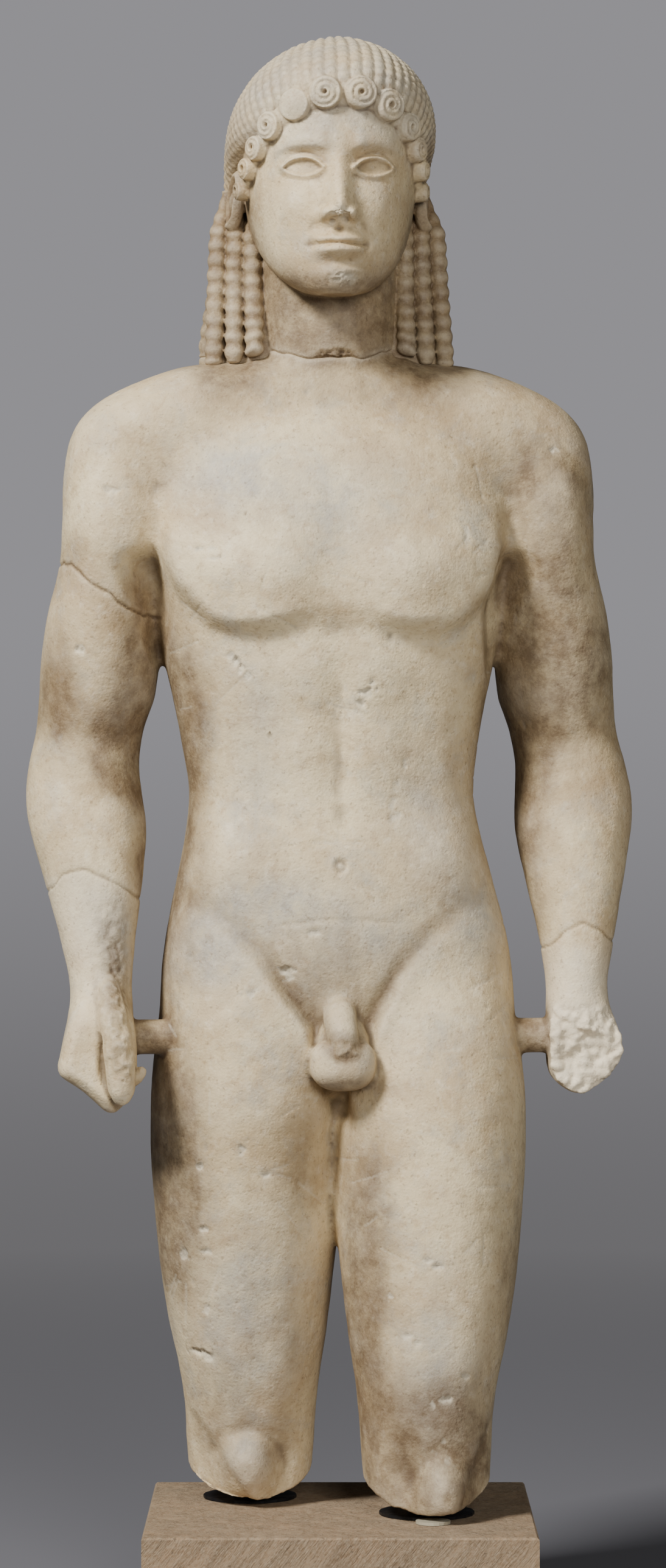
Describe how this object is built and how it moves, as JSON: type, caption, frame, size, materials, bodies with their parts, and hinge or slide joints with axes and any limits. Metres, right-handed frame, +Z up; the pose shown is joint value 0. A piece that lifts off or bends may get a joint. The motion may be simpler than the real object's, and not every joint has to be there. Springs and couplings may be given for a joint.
{
  "type": "marble kouros statue fragment on a stone mount block",
  "caption": "Archaic marble standing nude youth with beaded hair, arms at the sides, broken off at the knees and held by dark steel rods on a low stone block.",
  "frame": {"origin": "middle of the mount block's underside", "axes": "+Z up along the figure; the block is square to the axes; the figure faces -Y, turned a few degrees towards +X, its own left"},
  "size_m": [0.4241, 0.267, 1.107],
  "materials": {
    "marble": "weathered cream marble with brown patina, pits and scratches",
    "block_stone": "sawn fine-grained tan sandstone",
    "dark_steel": "blackened steel",
    "pale_resin": "pale matt resin"
  },
  "bodies": {
    "root": {"marble_figure": "marble", "mount_block": "block_stone", "right_knee_rod": "dark_steel", "left_knee_rod": "dark_steel", "left_knee_pad": "pale_resin"}
  },
  "joints": []
}
